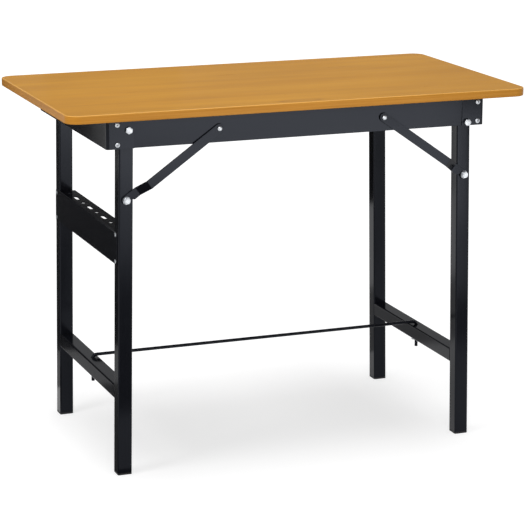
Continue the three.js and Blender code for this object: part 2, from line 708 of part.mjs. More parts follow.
// Stretcher rod with bent ends, and the clips that keep them in the crossbars
function addStretcher() {
  const [leftX, rightX] = SIDES.map((side) => side.sign * outwardAt(side, CROSSBAR_HEIGHT));
  const axisZ = CROSSBAR_HEIGHT + LEG_TUBE / 2 + ROD_RISE;
  const barBottom = CROSSBAR_HEIGHT - LEG_TUBE / 2;
  const tipZ = barBottom - ROD_STUB;
  const bend = (x, sign, turn) => {
    const bentX = x + sign * ROD_BEND * (1 - Math.cos(turn));
    return new THREE.Vector3(bentX, 0, axisZ - ROD_BEND * (1 - Math.sin(turn)));
  };
  const quarter = Array.from({ length: ROD_STEPS + 1 }, (_, step) => step / ROD_STEPS);
  const turns = quarter.map((share) => (share * Math.PI) / 2);
  const rod = wire(
    [
      new THREE.Vector3(leftX, 0, tipZ),
      ...turns.map((turn) => bend(leftX, 1, turn)),
      ...turns.reverse().map((turn) => bend(rightX, -1, turn)),
      new THREE.Vector3(rightX, 0, tipZ),
    ],
    new THREE.Vector3(0, 1, 0),
    ROD,
    ROD_SIDES,
  );
  const clipZ = barBottom - CLIP_DROP;
  const holes = [leftX, rightX].map((x) => {
    const hole = barY(CLIP_WIRE + HOLE_PLAY, -ROD, ROD, SMALL_SIDES);
    return hole.translate(x, 0, clipZ);
  });
  add(bench, "stretcher_rod", cut(rod, ...holes), "coat");

  // hairpin: a straight leg through the rod, a round loop, a second leg beside the rod
  const beside = ROD / 2 + CLIP_GAP + CLIP_WIRE / 2;
  const mouth = Math.asin(beside / 2 / CLIP_LOOP);
  const loopY = CLIP_LEG + CLIP_LOOP * Math.cos(mouth);
  const path = [new THREE.Vector3(0, -CLIP_TIP, 0)];
  for (let step = 0; step <= LOOP_STEPS; step += 1) {
    const turn = Math.PI + mouth + (step / LOOP_STEPS) * (Math.PI * 2 - 2 * mouth);
    const x = beside / 2 + CLIP_LOOP * Math.sin(turn);
    path.push(new THREE.Vector3(x, loopY + CLIP_LOOP * Math.cos(turn), 0));
  }
  path.push(new THREE.Vector3(beside, 0, 0));
  path.push(new THREE.Vector3(beside + CLIP_WIRE, -CLIP_TIP, 0));
  const clip = wire(path, new THREE.Vector3(0, 0, 1), CLIP_WIRE, CLIP_SIDES);
  add(bench, "left_hairpin_clip", clip.clone().translate(leftX, 0, clipZ), "zinc");
  add(bench, "right_hairpin_clip", clip.clone().translate(rightX, 0, clipZ), "zinc");
}

addTop();
addFrame();
addPivots();
SIDES.forEach(addLegFrame);
SIDES.forEach(addBrace);
addStretcher();

export default bench;
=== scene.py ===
# %% [markdown]
# # A folding workbench, dressed in Blender
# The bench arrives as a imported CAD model: plain solids, sorted into bodies that fold about real
# pivots. This lesson loads that model as a fixed frame and gives each piece its finish. Where a
# solid is too plain to show well, a finer mesh is made in the same place and stands for it.

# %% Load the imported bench
import json
import math

import bmesh
import bpy
from mathutils import Matrix, Vector

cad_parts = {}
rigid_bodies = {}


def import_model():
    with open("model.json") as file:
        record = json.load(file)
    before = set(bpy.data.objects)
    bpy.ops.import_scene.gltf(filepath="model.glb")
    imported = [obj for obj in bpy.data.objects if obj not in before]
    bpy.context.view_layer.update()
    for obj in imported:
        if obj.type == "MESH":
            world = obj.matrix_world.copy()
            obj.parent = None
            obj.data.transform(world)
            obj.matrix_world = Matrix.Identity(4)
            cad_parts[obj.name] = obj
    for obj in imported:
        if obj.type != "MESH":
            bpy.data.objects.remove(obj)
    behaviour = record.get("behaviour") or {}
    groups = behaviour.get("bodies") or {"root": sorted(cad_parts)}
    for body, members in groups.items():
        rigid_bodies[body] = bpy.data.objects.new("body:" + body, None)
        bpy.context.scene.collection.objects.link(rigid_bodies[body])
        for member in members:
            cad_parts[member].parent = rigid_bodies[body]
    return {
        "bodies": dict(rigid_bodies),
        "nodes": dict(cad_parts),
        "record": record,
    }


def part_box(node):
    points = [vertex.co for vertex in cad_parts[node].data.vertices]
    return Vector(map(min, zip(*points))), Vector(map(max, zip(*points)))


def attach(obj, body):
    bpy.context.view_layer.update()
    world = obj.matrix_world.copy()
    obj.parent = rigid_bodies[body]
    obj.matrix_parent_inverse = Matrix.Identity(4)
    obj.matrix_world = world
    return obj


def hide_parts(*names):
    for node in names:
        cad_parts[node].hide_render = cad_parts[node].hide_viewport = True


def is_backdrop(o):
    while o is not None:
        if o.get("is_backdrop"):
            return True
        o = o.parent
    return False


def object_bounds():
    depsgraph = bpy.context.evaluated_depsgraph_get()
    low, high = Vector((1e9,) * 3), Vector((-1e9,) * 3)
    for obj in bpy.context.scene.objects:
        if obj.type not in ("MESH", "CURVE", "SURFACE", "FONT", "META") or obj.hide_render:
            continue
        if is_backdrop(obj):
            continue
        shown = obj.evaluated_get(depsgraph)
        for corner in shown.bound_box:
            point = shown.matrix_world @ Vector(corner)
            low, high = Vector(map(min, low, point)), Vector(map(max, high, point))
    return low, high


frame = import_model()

cad_low, cad_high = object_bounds()
scene = bpy.context.scene
nodes = frame["nodes"]
body_of_node = {node: body for body, members in frame["record"]["behaviour"]["bodies"].items()
                for node in members}
loaded = set(nodes.values()) | set(frame["bodies"].values())
for leftover in [thing for thing in bpy.data.objects if thing not in loaded]:
    bpy.data.objects.remove(leftover)

# %% [markdown]
# ## The camera
# The photograph was taken from the front left, a little above the board, with a long lens. A camera
# can be turned by eye until it looks right, but here its place and turn were worked out from the
# board's corners and the legs, so the numbers are simply written down. The image is square, so one
# focal length in pixels gives the lens.

# %% Set up the camera
IMAGE_WIDTH = 530
FOCAL_PIXELS = 2164.6
CAMERA_PLACE = Vector((-1.6236, -4.2652, 1.4907))
yaw, pitch, roll = (math.radians(angle) for angle in (20.996, -13.953, 0.107))

forward = Vector((math.sin(yaw) * math.cos(pitch), math.cos(yaw) * math.cos(pitch), math.sin(pitch)))
level = Vector((math.cos(yaw), -math.sin(yaw), 0))
right = level * math.cos(roll) + level.cross(forward) * math.sin(roll)
up = right.cross(forward)

camera = bpy.data.objects.new("camera", bpy.data.cameras.new("camera"))
camera.matrix_world = Matrix.Translation(CAMERA_PLACE) @ Matrix((right, up, -forward)).transposed().to_4x4()
camera.data.sensor_width = 36
camera.data.lens = FOCAL_PIXELS / IMAGE_WIDTH * camera.data.sensor_width
scene.collection.objects.link(camera)
scene.camera = camera
print("camera lens", round(camera.data.lens, 2), "mm")

# %% [markdown]
# ## Helpers for node trees
# Shader trees and geometry trees are both made of nodes and links, so one small helper serves for
# both. It adds a node, sets its options, and fills its inputs either with a value or with a link.
# The others stand for nodes that are wanted again and again: arithmetic on two numbers, a vector from
# its parts, and a ramp that maps a number to a colour or a grey through a few stops.


# %% Add a node, and the nodes that are wanted most
def make(tree, kind, inputs=None, **options):
    made = tree.nodes.new(kind)
    for option, value in options.items():
        setattr(made, option, value)
    for socket, value in (inputs or {}).items():
        if isinstance(value, bpy.types.NodeSocket):
            tree.links.new(value, made.inputs[socket])
        else:
            made.inputs[socket].default_value = value
    return made


def calculate(tree, operation, first, second):
    return make(tree, "ShaderNodeMath", {0: first, 1: second}, operation=operation).outputs[0]


def vector(tree, **parts):
    return make(tree, "ShaderNodeCombineXYZ", parts).outputs[0]


def ramp(tree, factor, stops):
    node = make(tree, "ShaderNodeValToRGB", {"Fac": factor})
    elements = node.color_ramp.elements
    while len(elements) < len(stops):
        elements.new(0.5)
    for element, (position, colour) in zip(elements, stops):
        element.position = position
        element.color = (*colour, 1)
    return node.outputs["Color"]


def grey_ramp(tree, factor, stops):
    return ramp(tree, factor, [(position, (grey,) * 3) for position, grey in stops])


print("node helpers ready")

# %% [markdown]
# ## Floor
# The bench stands on white paper in a soft studio light. The floor keeps the bench's shadow, so it
# is a real matt surface. The part of its white that the lamps don't give is added only where the
# camera or a mirror-like finish looks at it, so that it puts no more light on the bench. Under the
# bench less of that white is added, which is a painted shadow. It takes the shape that a wide lamp
# over an oblong board gives, fading along X and along Y, so two ramps are multiplied to say how much
# of the added white is held back under the bench. Far out, where the lamps are weak, more is added,
# and the paper turns up there, which hides the horizon except from very low down.

# %% Mix the floor's white
FLOOR_GREY = 0.45
SHADOW_MIDDLE_Y = 0.02
# metres from the painted shadow's middle, and the share of the painted shadow that is left there
SHADOW_ALONG = [(0.28, 1.0), (0.369, 0.68), (0.388, 0.53), (0.442, 0.12), (0.48, 0.0)]
SHADOW_ACROSS = [(0.10, 1.0), (0.14, 0.96), (0.227, 0.72), (0.321, 0.45), (0.50, 0.0)]
SHADOW_DEPTH = 0.203
# share of the way out to FAR_REACH metres, and the white that is added there
FAR_STEPS = [(0.25, 0.76), (1.0, 1.0)]
FAR_REACH = 4.0


def floor_finish():
    material = bpy.data.materials.new("white paper floor")
    material.use_nodes = True
    tree = material.node_tree
    tree.nodes.clear()
    place = make(tree, "ShaderNodeTexCoord").outputs["Object"]
    centred = make(tree, "ShaderNodeVectorMath", {0: place, 1: (0, SHADOW_MIDDLE_Y, 0)},
                   operation="SUBTRACT").outputs["Vector"]
    apart = make(tree, "ShaderNodeVectorMath", {0: centred}, operation="ABSOLUTE").outputs["Vector"]
    apart = make(tree, "ShaderNodeSeparateXYZ", {0: apart}).outputs
    along = grey_ramp(tree, apart["X"], SHADOW_ALONG)
    across = grey_ramp(tree, apart["Y"], SHADOW_ACROSS)
    shadow = calculate(tree, "MULTIPLY", along, across)
    # painted shadow: the share of the added white that is held back under the bench
    painted_shadow = calculate(tree, "MULTIPLY", shadow, SHADOW_DEPTH)
    away = make(tree, "ShaderNodeVectorMath", {0: place}, operation="LENGTH").outputs["Value"]
    white = grey_ramp(tree, calculate(tree, "DIVIDE", away, FAR_REACH), FAR_STEPS)
    lift = calculate(tree, "SUBTRACT", white, painted_shadow)
    ray = make(tree, "ShaderNodeLightPath").outputs
    seen = calculate(tree, "MAXIMUM", ray["Is Camera Ray"], ray["Is Glossy Ray"])
    seen = calculate(tree, "MAXIMUM", seen, ray["Is Transmission Ray"])
    glow = calculate(tree, "MULTIPLY", seen, lift)
    paper = make(tree, "ShaderNodeBsdfDiffuse", {"Color": (FLOOR_GREY, FLOOR_GREY, FLOOR_GREY, 1)})
    light = make(tree, "ShaderNodeEmission", {"Strength": glow})
    both = make(tree, "ShaderNodeAddShader", {0: paper.outputs[0], 1: light.outputs[0]})
    make(tree, "ShaderNodeOutputMaterial", {"Surface": both.outputs[0]})
    return material


white_paper = floor_finish()
print("mixed", white_paper.name)

# %% Lay the floor
FLOOR_HALF = 60.0
WALL_HEIGHT = 3.5
floor_mesh = bpy.data.meshes.new("floor")
corners = [(x * FLOOR_HALF, y * FLOOR_HALF, z) for z in (0, WALL_HEIGHT)
           for x, y in ((-1, -1), (1, -1), (1, 1), (-1, 1))]
sides = [(step, (step + 1) % 4, (step + 1) % 4 + 4, step + 4) for step in range(4)]
floor_mesh.from_pydata(corners, [], [(0, 1, 2, 3)] + sides)
floor_mesh.materials.append(white_paper)
floor = bpy.data.objects.new("floor", floor_mesh)
scene.collection.objects.link(floor)
floor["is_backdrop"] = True
print("floor", 2 * FLOOR_HALF, "m wide, turned up", WALL_HEIGHT, "m at its edges")

# %% [markdown]
# ## Lamps
# Three softboxes light the bench from above, from the front and from the left. Two long low cards
# stand in front of it. They give little light, but the glossy rails and legs mirror them, which is
# what makes a black coat look grey where it faces the viewer. The walls of the studio fill in what
# is left with a weak even light.

# %% Hang the lamps
# name, place, target, width and height in metres, power in watts, spread in degrees
SOFTBOXES = [
    ("overhead softbox", (0.1, 0.1, 2.6), (0.0, 0.0, 0.0), (1.7, 1.5), 26.0, 180),
    ("front softbox", (-0.5, -2.4, 1.75), (0.0, -0.25, 0.85), (1.2, 0.8), 6.5, 90),
    ("left softbox", (-2.4, -0.7, 1.7), (-0.4, 0.0, 0.7), (1.0, 1.0), 23.0, 180),
]
# name, height of its middle above the floor, its own height, power in watts
CARDS = [("front card", 0.35, 0.30, 4.1), ("low front card", 0.10, 0.20, 1.0)]
CARD_WIDTH = 1.20
CARD_PLACE = Vector((0.515, -1.775, 0))
CARD_FACING = Vector((-0.733, 0.680, 0))


def softbox(name, place, target, size, power, spread=180):
    lamp = bpy.data.lights.new(name, "AREA")
    lamp.shape = "RECTANGLE"
    lamp.size, lamp.size_y = size
    lamp.energy = power
    lamp.spread = math.radians(spread)
    box = bpy.data.objects.new(name, lamp)
    turn = (Vector(target) - Vector(place)).to_track_quat("-Z", "Y")
    box.matrix_world = Matrix.Translation(place) @ turn.to_matrix().to_4x4()
    box.visible_camera = False
    scene.collection.objects.link(box)


for lamp in SOFTBOXES:
    softbox(*lamp)
for name, height, tall, power in CARDS:
    place = CARD_PLACE + Vector((0, 0, height))
    softbox(name, place, place + CARD_FACING, (CARD_WIDTH, tall), power)
print(len(SOFTBOXES), "softboxes and", len(CARDS), "cards")

# %% Light the walls
WORLD_LEVEL = 0.36
world = bpy.data.worlds.new("studio walls")
world.use_nodes = True
walls = world.node_tree.nodes["Background"].inputs
walls["Color"].default_value = (0.97, 0.98, 1.0, 1)
walls["Strength"].default_value = WORLD_LEVEL
scene.world = world
scene.view_settings.view_transform = "Standard"
print("walls at", WORLD_LEVEL)

# %% [markdown]
# ## Flags
# Glossy black shows whatever it mirrors, and in an all-white room it looks grey. A photographer puts
# dark cloths, called flags, where the black should look deep. Here four stand behind the bench, two
# strips and a square lie in front of it, and two grey ones lie beside and behind it. They are seen
# only in reflections, so they take no light away and throw no shadow.

# %% Set out the flags
FLAG_Y = 0.70
FLAG_LEVEL = 0.003


def standing(left, right_end, bottom, top):
    corners = ((left, bottom), (right_end, bottom), (right_end, top), (left, top))
    return [(x, FLAG_Y, z) for x, z in corners]


def lying(*corners):
    return [(x, y, FLAG_LEVEL) for x, y in corners]


# the grey of each cloth, and its corners
FLAGS = {
    "side flag": (0.01, standing(-1.15, -0.45, 0.0, 0.44)),
    "panel flag": (0.01, standing(-0.72, -0.45, 0.44, 0.85)),
    "middle flag": (0.01, standing(-0.06, 0.40, 0.30, 0.65)),
    "rack flag": (0.01, standing(-0.28, 0.06, 0.60, 0.80)),
    "left strip": (0.10, lying((-0.42, -0.62), (-0.16, -0.62), (0.33, -1.90), (0.02, -1.90))),
    "right strip": (0.10, lying((0.58, -0.92), (0.78, -0.80), (0.97, -1.22), (0.78, -1.42))),
    "brace flag": (0.01, lying((-0.90, -0.92), (-0.48, -0.92), (-0.48, -0.52), (-0.90, -0.52))),
    "foot flag": (0.12, lying((-0.60, -0.26), (-0.33, -0.26), (-0.47, 0.40), (-0.90, 0.40))),
    "rear floor flag": (0.50, lying((-1.0, 0.40), (0.35, 0.40), (0.35, 0.95), (-1.0, 0.95))),
}
for name, (grey, corners) in FLAGS.items():
    cloth = bpy.data.materials.new(name + " cloth")
    cloth.use_nodes = True
    cloth.node_tree.nodes["Principled BSDF"].inputs["Base Color"].default_value = (grey, grey, grey, 1)
    mesh = bpy.data.meshes.new(name)
    mesh.from_pydata(corners, [], [(0, 1, 2, 3)])
    mesh.materials.append(cloth)
    flag = bpy.data.objects.new(name, mesh)
    flag.visible_camera = flag.visible_diffuse = flag.visible_shadow = False
    scene.collection.objects.link(flag)
    flag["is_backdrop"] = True
print(len(FLAGS), "flags, seen only in reflections")

# %% [markdown]
# ## Materials: the common start
# Every finish starts from the Principled shader and reads Object coordinates. Each piece's object
# sits at the origin, so these are metres in the bench's own frame, and a grain drawn on one piece
# has the same scale on all of them.


# %% Start a finish, and its noise, mixing and bump
def blank_finish(name, **sockets):
    material = bpy.data.materials.new(name)
    material.use_nodes = True
    tree = material.node_tree
    shader = tree.nodes["Principled BSDF"]
    for socket, value in sockets.items():
        shader.inputs[socket.replace("_", " ")].default_value = value
    place = make(tree, "ShaderNodeTexCoord").outputs["Object"]
    return material, tree, shader, place


def noise(tree, place, scale, stretch=(1, 1, 1), detail=3.0, roughness=0.5):
    stretched = make(tree, "ShaderNodeMapping", {"Vector": place, "Scale": stretch}).outputs[0]
    return make(tree, "ShaderNodeTexNoise", {"Vector": stretched, "Scale": scale, "Detail": detail,
                                             "Roughness": roughness}).outputs["Fac"]


def span(tree, value, low, high, start=0.0, end=1.0):
    return make(tree, "ShaderNodeMapRange", {"Value": value, "From Min": start, "From Max": end,
                                             "To Min": low, "To Max": high}).outputs["Result"]


def blend_colour(tree, factor, first, second, how="MIX"):
    node = make(tree, "ShaderNodeMix", {0: factor, 6: first, 7: second}, data_type="RGBA",
                blend_type=how)
    return node.outputs[2]


def bump(tree, shader, height, depth, strength=1.0):
    node = make(tree, "ShaderNodeBump", {"Height": height, "Distance": depth, "Strength": strength})
    tree.links.new(node.outputs["Normal"], shader.inputs["Normal"])


print("finish helpers ready")

# %% [markdown]
# ## The board's laminate
# The board is chipboard under a printed and lacquered foil: honey-coloured wood with a fine straight
# grain along the bench and a slight gloss. A wave texture gives regular stripes, which look drawn.
# Noise stretched along X looks more like fibres, so three sizes of it are laid over each other, and
# one knot near the front edge is drawn as an eye that the grain runs into.

# %% Mix the laminate
KNOT = (-0.004, -0.2465)
KNOT_HALF = (0.042, 0.0115)
KNOT_RINGS = [(0.0, 0.10), (0.40, 0.06), (0.60, 0.42), (0.72, 0.10), (0.95, 0.0)]
KNOT_COLOUR = (0.20, 0.075, 0.02, 1)


def laminate_finish():
    material, tree, shader, place = blank_finish("honey laminate", Specular_IOR_Level=0.05)
    bands = noise(tree, place, 1.0, stretch=(1.1, 17, 17), detail=4, roughness=0.55)
    fibres = noise(tree, place, 1.0, stretch=(7, 230, 230), detail=5, roughness=0.6)
    clouds = noise(tree, place, 2.2, stretch=(1, 2.4, 1))
    grain = calculate(tree, "ADD", bands, fibres)
    wood = ramp(tree, span(tree, grain, 0, 1, 0.62, 1.38), [
        (0.0, (0.430, 0.180, 0.0060)),
        (0.45, (0.516, 0.232, 0.0100)),
        (1.0, (0.588, 0.286, 0.0200))])
    shade = ramp(tree, clouds, [(0.3, (0.90, 0.88, 0.84)), (0.7, (1.06, 1.06, 1.06))])
    wood = blend_colour(tree, 1.0, wood, shade, "MULTIPLY")

    centred = make(tree, "ShaderNodeMapping", {
        "Vector": place, "Location": (-KNOT[0] / KNOT_HALF[0], -KNOT[1] / KNOT_HALF[1], 0),
        "Scale": (1 / KNOT_HALF[0], 1 / KNOT_HALF[1], 0)}).outputs[0]
    away = make(tree, "ShaderNodeVectorMath", {0: centred}, operation="LENGTH").outputs["Value"]
    wander = calculate(tree, "ADD", span(tree, bands, -0.25, 0.25), away)
    ring = grey_ramp(tree, span(tree, wander, 0, 1, 0.0, 1.6), KNOT_RINGS)
    wood = blend_colour(tree, ring, wood, KNOT_COLOUR)
    tree.links.new(wood, shader.inputs["Base Color"])
    tree.links.new(span(tree, fibres, 0.24, 0.36), shader.inputs["Roughness"])
    bump(tree, shader, fibres, depth=0.00006, strength=0.5)
    return material


laminate = laminate_finish()
print("mixed", laminate.name)

# %% [markdown]
# ## Edge band and backing
# The board's edge is closed by a thin plastic band in the same colour, with the grain running round
# it. Noise that is long in both X and Y and short in Z gives level streaks on all four sides. The
# band's upper edge is rounded, and a paler colour is mixed in over the height of that round: a
# painted highlight along the edge. The underside carries a plain backing paper, which is seen only
# from below.

# %% Mix the band and the backing paper
BAND_ROUND = 0.0018
# share and colour of the painted highlight on the band's upper round
ARRIS_HIGHLIGHT_SHARE = 0.4
ARRIS_HIGHLIGHT_COLOUR = (0.90, 0.56, 0.17, 1)


def band_finish():
    material, tree, shader, place = blank_finish("honey edge band", Specular_IOR_Level=0.1)
    streaks = noise(tree, place, 1.0, stretch=(5, 5, 420), detail=4, roughness=0.6)
    patches = noise(tree, place, 6.0, detail=2)
    wood = ramp(tree, streaks, [(0.25, (0.490, 0.198, 0.018)), (0.75, (0.640, 0.290, 0.046))])
    shade = ramp(tree, patches, [(0.3, (0.93, 0.92, 0.90)), (0.7, (1.04, 1.04, 1.04))])
    wood = blend_colour(tree, 1.0, wood, shade, "MULTIPLY")
    # painted highlight: a paler colour over the height of the band's upper round
    height = make(tree, "ShaderNodeSeparateXYZ", {0: place}).outputs["Z"]
    painted_highlight = span(tree, height, 0.0, ARRIS_HIGHLIGHT_SHARE, cad_high[2] - BAND_ROUND, cad_high[2] - BAND_ROUND / 2)
    wood = blend_colour(tree, painted_highlight, wood, ARRIS_HIGHLIGHT_COLOUR)
    tree.links.new(wood, shader.inputs["Base Color"])
    tree.links.new(span(tree, patches, 0.26, 0.38), shader.inputs["Roughness"])
    bump(tree, shader, streaks, depth=0.00005, strength=0.4)
    return material


def backing_finish():
    material, tree, shader, place = blank_finish("backing paper", Specular_IOR_Level=0.2)
    flecks = noise(tree, place, 160.0, detail=4, roughness=0.65)
    paper = ramp(tree, flecks, [(0.3, (0.300, 0.190, 0.095)), (0.7, (0.420, 0.290, 0.160))])
    tree.links.new(paper, shader.inputs["Base Color"])
    tree.links.new(span(tree, flecks, 0.60, 0.80), shader.inputs["Roughness"])
    bump(tree, shader, flecks, depth=0.0001, strength=0.5)
    return material


edge_band = band_finish()
backing = backing_finish()
print("mixed", edge_band.name, "and", backing.name)

# %% [markdown]
# ## Black coat
# All the sheet and tube is powder coated in a glossy black with a hint of blue. Baked powder flows
# out like orange peel: a soft ripple a few millimetres wide. It is a bump from noise, and broad
# faint clouds in the colour and the gloss keep large faces from looking flat.

# %% Mix the black coat
def coat_finish():
    material, tree, shader, place = blank_finish(
        "black coat", Specular_IOR_Level=0.15, Specular_Tint=(0.80, 0.86, 1.0, 1))
    peel = noise(tree, place, 330.0, detail=2)
    clouds = noise(tree, place, 7.0, detail=4, roughness=0.6)
    black = ramp(tree, clouds, [(0.3, (0.0040, 0.0043, 0.0062)), (0.7, (0.0060, 0.0064, 0.0088))])
    tree.links.new(black, shader.inputs["Base Color"])
    tree.links.new(span(tree, clouds, 0.10, 0.20), shader.inputs["Roughness"])
    bump(tree, shader, peel, depth=0.00005, strength=0.35)
    return material


black_coat = coat_finish()
print("mixed", black_coat.name)

# %% [markdown]
# ## Zinc plate and black plastic
# Screws, bolts, nuts, rivets and clips are zinc plated: a bright metal with a faint cool tint that
# drifts from piece to piece. In a screw's recess and under its head the plate is darkened where
# little of its surroundings is open: painted shade. The foot caps are moulded plastic with a fine
# matt texture.

# %% Mix the zinc and the plastic
# how far the painted shade in recesses and under heads looks for open surroundings
RECESS_SHADE_REACH = 0.004


def zinc_finish():
    material, tree, shader, place = blank_finish("zinc plate", Metallic=1.0)
    drift = noise(tree, place, 90.0)
    plate = ramp(tree, drift, [(0.3, (0.50, 0.52, 0.55)), (0.7, (0.62, 0.64, 0.66))])
    # painted shade: the plate is darker where little of its surroundings is open
    open_share = make(tree, "ShaderNodeAmbientOcclusion", {"Distance": RECESS_SHADE_REACH}).outputs["AO"]
    painted_shade = grey_ramp(tree, open_share, [(0.35, 0.10), (0.85, 1.0)])
    plate = blend_colour(tree, 1.0, plate, painted_shade, "MULTIPLY")
    tree.links.new(plate, shader.inputs["Base Color"])
    tree.links.new(span(tree, drift, 0.34, 0.48), shader.inputs["Roughness"])
    bump(tree, shader, noise(tree, place, 2600.0), depth=0.00002, strength=0.3)
    return material


def plastic_finish():
    material, tree, shader, place = blank_finish("black plastic", Specular_IOR_Level=0.3)
    texture = noise(tree, place, 1500.0, roughness=0.6)
    scuffs = noise(tree, place, 60.0, detail=4, roughness=0.6)
    black = ramp(tree, scuffs, [(0.35, (0.010, 0.010, 0.011)), (0.75, (0.024, 0.024, 0.026))])
    tree.links.new(black, shader.inputs["Base Color"])
    tree.links.new(span(tree, scuffs, 0.45, 0.65), shader.inputs["Roughness"])
    bump(tree, shader, texture, depth=0.00006, strength=0.5)
    return material


zinc = zinc_finish()
plastic = plastic_finish()
print("mixed", zinc.name, "and", plastic.name)

# %% [markdown]
# ## Smooth copies of the sheet and tube
# A CAD node is a set of loose flat triangles, so a rounded corner on it shows facets. Drawing each
# piece again would repeat shapes that are already right. Instead a copy is merged into one skin, its
# flat faces are joined up, its cut edges get a small round as sheared sheet has, and its gentle
# corners are shaded smooth. The copy then stands for the node.

# %% Copy, merge and round a node
MERGE_DISTANCE = 0.00002
FLAT_ANGLE = math.radians(0.5)


def plain_piece(source, name, body):
    """The evaluated source as a plain mesh piece on a body; the source is removed."""
    graph = bpy.context.evaluated_depsgraph_get()
    mesh = bpy.data.meshes.new_from_object(source.evaluated_get(graph))
    mesh.name = name
    bpy.data.objects.remove(source)
    piece = bpy.data.objects.new(name, mesh)
    scene.collection.objects.link(piece)
    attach(piece, body)
    return piece


def merged_mesh(node, name):
    mesh = nodes[node].data.copy()
    mesh.name = name
    mesh.materials.clear()
    edit = bmesh.new()
    edit.from_mesh(mesh)
    bmesh.ops.remove_doubles(edit, verts=edit.verts, dist=MERGE_DISTANCE)
    bmesh.ops.dissolve_limit(edit, angle_limit=FLAT_ANGLE, verts=edit.verts, edges=edit.edges)
    edit.to_mesh(mesh)
    edit.free()
    return mesh


def smooth_copy(node, finish, edge=0.0, crease=40):
    mesh = merged_mesh(node, node + "_draft")
    mesh.materials.append(finish)
    mesh.shade_smooth()
    if not edge:
        mesh.set_sharp_from_angle(angle=math.radians(crease))
    draft = bpy.data.objects.new(node + "_draft", mesh)
    scene.collection.objects.link(draft)
    if edge:
        rounding = draft.modifiers.new("cut edge", "BEVEL")
        rounding.width = edge
        rounding.segments = 2
        rounding.limit_method = "ANGLE"
        rounding.angle_limit = math.radians(crease)
        rounding.use_clamp_overlap = False
    even = draft.modifiers.new("even flats", "WEIGHTED_NORMAL")
    even.keep_sharp = True
    piece = plain_piece(draft, "finished_" + node, body_of_node[node])
    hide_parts(node)
    return piece


print("copy helpers ready")

# %% Copy the coated pieces and the foot caps
CUT_EDGE = 0.0003
steel = ["front_rail", "rear_rail", "left_end_panel", "right_end_panel", "left_brace", "right_brace"]
tubes = [f"{face}_{side}_leg" for face in ("front", "rear") for side in ("left", "right")]
tubes += ["left_crossbar", "right_crossbar"]
for node in steel + tubes:
    smooth_copy(node, black_coat, CUT_EDGE, 20 if node.endswith("_brace") else 40)
for node in [f"{face}_{side}_foot_cap" for face in ("front", "rear") for side in ("left", "right")]:
    smooth_copy(node, plastic, 2 * CUT_EDGE)
print(len(steel + tubes), "coated pieces and 4 foot caps smoothed")

# %% [markdown]
# ## Board and band
# The board is one solid with two finishes: laminate on top, backing paper below. A face knows which
# way it looks, so the faces that look down are given the second of the board's two materials. The
# band's round is already in its mesh, so it needs no rounding, only smooth shading.

# %% Finish the board and its band
board = smooth_copy("tabletop_board", laminate)
board.data.materials.append(backing)
for face in board.data.polygons:
    face.material_index = 1 if face.normal.z < -0.5 else 0
smooth_copy("tabletop_edge_band", edge_band, crease=50)
print("board underside faces", sum(face.material_index for face in board.data.polygons))

# %% [markdown]
# ## Spacers
# Four short tubes keep the legs clear of the rails. They sit in shadow and their shape is already
# right, so the CAD nodes stay and only take the zinc finish.

# %% Give the spacers their finish
spacers = [node for node in nodes if node.endswith("_pivot_spacer")]
for node in spacers:
    nodes[node].data.materials.clear()
    nodes[node].data.materials.append(zinc)
print(len(spacers), "spacers in zinc")

# %% [markdown]
# ## Geometry Nodes: the common start
# Screws, bolts, nuts and rivets repeat, and each must face its own way. A small tree makes one of
# them from named sizes and sets a copy on every point of a mesh. A point carries the direction that
# its fastener faces as an attribute. The same few steps begin and end every tree.


# %% Start and end a tree
def start_tree(name, sizes):
    tree = bpy.data.node_groups.new(name, "GeometryNodeTree")
    face = tree.interface
    face.new_socket("Geometry", in_out="INPUT", socket_type="NodeSocketGeometry")
    for size, value in sizes.items():
        kind = "NodeSocketInt" if isinstance(value, int) else "NodeSocketFloat"
        face.new_socket(size, in_out="INPUT", socket_type=kind).default_value = value
    face.new_socket("Finish", in_out="INPUT", socket_type="NodeSocketMaterial")
    face.new_socket("Geometry", in_out="OUTPUT", socket_type="NodeSocketGeometry")
    return tree, make(tree, "NodeGroupInput").outputs


def end_tree(tree, geometry, finish, crease=35):
    real = make(tree, "GeometryNodeRealizeInstances", {"Geometry": geometry}).outputs[0]
    smooth = make(tree, "GeometryNodeSetShadeSmooth", {"Geometry": real}).outputs[0]
    angle = make(tree, "GeometryNodeInputMeshEdgeAngle").outputs["Unsigned Angle"]
    sharp = make(tree, "FunctionNodeCompare", {0: angle, 1: math.radians(crease)},
                 operation="GREATER_THAN").outputs[0]
    creased = make(tree, "GeometryNodeSetShadeSmooth", {"Geometry": smooth, "Selection": sharp,
                                                        "Shade Smooth": False}, domain="EDGE")
    last = make(tree, "GeometryNodeSetMaterial", {"Geometry": creased.outputs[0], "Material": finish})
    make(tree, "NodeGroupOutput", {"Geometry": last.outputs[0]})


def run_tree(tree, mesh, name, body, finish, **sizes):
    """Runs a tree on a mesh with some sizes changed, and keeps the result as a plain piece."""
    draft = bpy.data.objects.new(name + "_draft", mesh)
    scene.collection.objects.link(draft)
    modifier = draft.modifiers.new(tree.name, "NODES")
    modifier.node_group = tree
    wanted = {size.replace("_", " "): value for size, value in sizes.items()} | {"Finish": finish}
    for socket in tree.interface.items_tree:
        if socket.in_out == "INPUT" and socket.name in wanted:
            modifier[socket.identifier] = wanted[socket.name]
    return plain_piece(draft, name, body)


print("geometry helpers ready")

# %% [markdown]
# ## Shapes that fasteners share
# A head and a shank are simple solids that stand on one another along Z. Solids that only overlap
# would leave hidden faces inside, so they are joined by a boolean, which gives one closed skin. The
# shank reaches a little into the head for that.


# %% Solids along Z
def times(tree, value, factor):
    return calculate(tree, "MULTIPLY", value, factor)


def moved(tree, geometry, **change):
    inputs = {"Geometry": geometry} | {name.capitalize(): value for name, value in change.items()}
    return make(tree, "GeometryNodeTransform", inputs).outputs[0]


